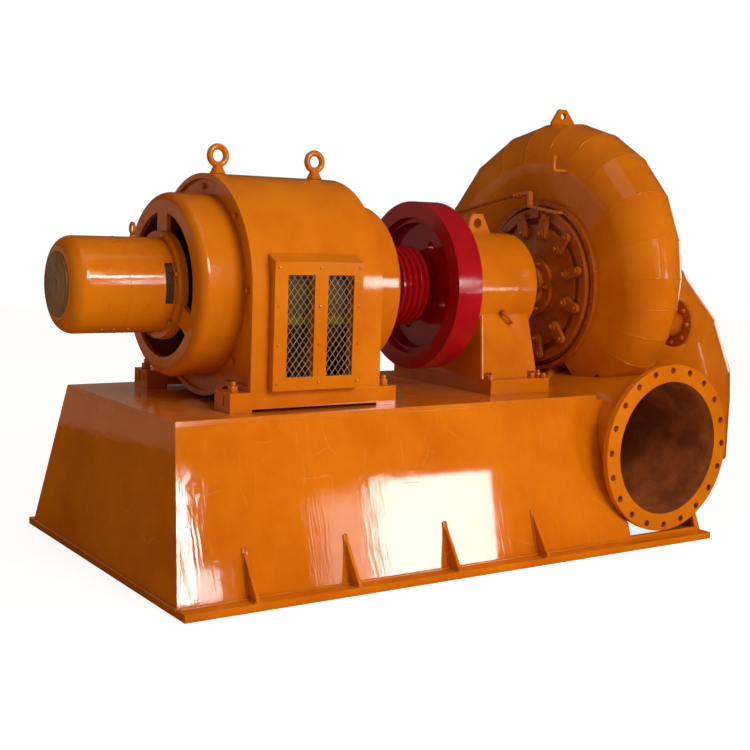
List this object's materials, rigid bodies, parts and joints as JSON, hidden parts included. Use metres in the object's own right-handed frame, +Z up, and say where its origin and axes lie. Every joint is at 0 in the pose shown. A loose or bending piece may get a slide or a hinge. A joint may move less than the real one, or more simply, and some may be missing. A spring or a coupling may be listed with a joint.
{
  "type": "hydroelectric generator set",
  "caption": "Horizontal Francis turbine and generator set with exciter, flywheel, pedestal bearing, spiral case and draft tube elbow on one welded orange bedplate.",
  "frame": {"origin": "middle of the bedplate's underside, on the floor", "axes": "+X along the shaft from generator to turbine, +Y to the back, +Z up; the water inlet faces -Y"},
  "size_m": [3.785, 1.7385, 2.0277],
  "materials": {
    "orange_enamel": "gloss",
    "red_enamel": "gloss",
    "green_winding": "satin",
    "brown_cap": "satin",
    "bare_steel": "satin",
    "dark_iron": "matte"
  },
  "bodies": {
    "bedplate": {"foot_frame": "orange_enamel", "front_wall": "orange_enamel", "back_wall": "orange_enamel", "left_end_plate": "orange_enamel", "right_end_plate": "orange_enamel", "bulkhead": "orange_enamel", "bed_top": "orange_enamel", "bedplate_ribs": "orange_enamel", "generator_pads": "orange_enamel", "generator_feet": "orange_enamel", "generator_frame": "orange_enamel", "front_vent_cover": "orange_enamel", "back_vent_cover": "orange_enamel", "exciter_side_shield": "orange_enamel", "drive_side_shield": "orange_enamel", "exciter_housing": "orange_enamel", "lifting_eyes": "orange_enamel", "bearing_sole_plate": "orange_enamel", "pedestal_bearing": "orange_enamel", "spiral_case": "orange_enamel", "spiral_case_top": "orange_enamel", "spiral_case_end": "orange_enamel", "inlet_pipe": "orange_enamel", "inlet_flange": "orange_enamel", "stay_ring": "orange_enamel", "head_cover": "orange_enamel", "turbine_back_cover": "orange_enamel", "draft_tube_elbow": "orange_enamel", "spiral_lug": "orange_enamel", "side_nozzle": "orange_enamel", "air_cock": "orange_enamel", "stator": "green_winding", "exciter_end_cap": "brown_cap", "shaft_seal": "orange_enamel", "vent_screens": "bare_steel", "exciter_screens": "bare_steel"},
    "rotor": {"main_shaft": "bare_steel", "generator_rotor": "dark_iron", "coupling_hub": "red_enamel", "flywheel": "red_enamel"},
    "gate_ring": {"operating_ring": "orange_enamel", "control_arm": "orange_enamel"},
    "governor_rod": {"control_rod": "orange_enamel"},
    "lever_01": {"guide_lever_01": "orange_enamel"},
    "lever_02": {"guide_lever_02": "orange_enamel"},
    "lever_03": {"guide_lever_03": "orange_enamel"},
    "lever_04": {"guide_lever_04": "orange_enamel"},
    "lever_05": {"guide_lever_05": "orange_enamel"},
    "lever_06": {"guide_lever_06": "orange_enamel"},
    "lever_07": {"guide_lever_07": "orange_enamel"},
    "lever_08": {"guide_lever_08": "orange_enamel"},
    "lever_09": {"guide_lever_09": "orange_enamel"},
    "lever_10": {"guide_lever_10": "orange_enamel"},
    "lever_11": {"guide_lever_11": "orange_enamel"},
    "lever_12": {"guide_lever_12": "orange_enamel"}
  },
  "joints": [
    {"name": "rotor_spin", "type": "hinge", "parent": "bedplate", "child": "rotor", "pos_m": [0, 0, 1.147], "axis": [1, 0, 0], "continuous": true},
    {"name": "ring_turn", "type": "hinge", "parent": "bedplate", "child": "gate_ring", "pos_m": [0.91, 0, 1.147], "axis": [1, 0, 0], "range_deg": [-4, 4]},
    {"name": "rod_turn", "type": "hinge", "parent": "gate_ring", "child": "governor_rod", "pos_m": [0.852, 0.112, 1.59], "axis": [1, 0, 0], "range_deg": [-4, 4]},
    {"name": "lever_01_turn", "type": "hinge", "parent": "bedplate", "child": "lever_01", "pos_m": [0.879, -0.06859, 1.40297], "axis": [1, 0, 0], "range_deg": [-18, 18]},
    {"name": "lever_02_turn", "type": "hinge", "parent": "bedplate", "child": "lever_02", "pos_m": [0.879, -0.18738, 1.33438], "axis": [1, 0, 0], "range_deg": [-18, 18]},
    {"name": "lever_03_turn", "type": "hinge", "parent": "bedplate", "child": "lever_03", "pos_m": [0.879, -0.25597, 1.21559], "axis": [1, 0, 0], "range_deg": [-18, 18]},
    {"name": "lever_04_turn", "type": "hinge", "parent": "bedplate", "child": "lever_04", "pos_m": [0.879, -0.25597, 1.07841], "axis": [1, 0, 0], "range_deg": [-18, 18]},
    {"name": "lever_05_turn", "type": "hinge", "parent": "bedplate", "child": "lever_05", "pos_m": [0.879, -0.18738, 0.95962], "axis": [1, 0, 0], "range_deg": [-18, 18]},
    {"name": "lever_06_turn", "type": "hinge", "parent": "bedplate", "child": "lever_06", "pos_m": [0.879, -0.06859, 0.89103], "axis": [1, 0, 0], "range_deg": [-18, 18]},
    {"name": "lever_07_turn", "type": "hinge", "parent": "bedplate", "child": "lever_07", "pos_m": [0.879, 0.06859, 0.89103], "axis": [1, 0, 0], "range_deg": [-18, 18]},
    {"name": "lever_08_turn", "type": "hinge", "parent": "bedplate", "child": "lever_08", "pos_m": [0.879, 0.18738, 0.95962], "axis": [1, 0, 0], "range_deg": [-18, 18]},
    {"name": "lever_09_turn", "type": "hinge", "parent": "bedplate", "child": "lever_09", "pos_m": [0.879, 0.25597, 1.07841], "axis": [1, 0, 0], "range_deg": [-18, 18]},
    {"name": "lever_10_turn", "type": "hinge", "parent": "bedplate", "child": "lever_10", "pos_m": [0.879, 0.25597, 1.21559], "axis": [1, 0, 0], "range_deg": [-18, 18]},
    {"name": "lever_11_turn", "type": "hinge", "parent": "bedplate", "child": "lever_11", "pos_m": [0.879, 0.18738, 1.33438], "axis": [1, 0, 0], "range_deg": [-18, 18]},
    {"name": "lever_12_turn", "type": "hinge", "parent": "bedplate", "child": "lever_12", "pos_m": [0.879, 0.06859, 1.40297], "axis": [1, 0, 0], "range_deg": [-18, 18]}
  ],
  "couplings": [
    {"joint": "rod_turn", "follows": "ring_turn", "ratio": -1},
    {"joint": "lever_01_turn", "follows": "ring_turn", "ratio": 4.4416},
    {"joint": "lever_02_turn", "follows": "ring_turn", "ratio": 4.4416},
    {"joint": "lever_03_turn", "follows": "ring_turn", "ratio": 4.4416},
    {"joint": "lever_04_turn", "follows": "ring_turn", "ratio": 4.4416},
    {"joint": "lever_05_turn", "follows": "ring_turn", "ratio": 4.4416},
    {"joint": "lever_06_turn", "follows": "ring_turn", "ratio": 4.4416},
    {"joint": "lever_07_turn", "follows": "ring_turn", "ratio": 4.4416},
    {"joint": "lever_08_turn", "follows": "ring_turn", "ratio": 4.4416},
    {"joint": "lever_09_turn", "follows": "ring_turn", "ratio": 4.4416},
    {"joint": "lever_10_turn", "follows": "ring_turn", "ratio": 4.4416},
    {"joint": "lever_11_turn", "follows": "ring_turn", "ratio": 4.4416},
    {"joint": "lever_12_turn", "follows": "ring_turn", "ratio": 4.4416}
  ]
}
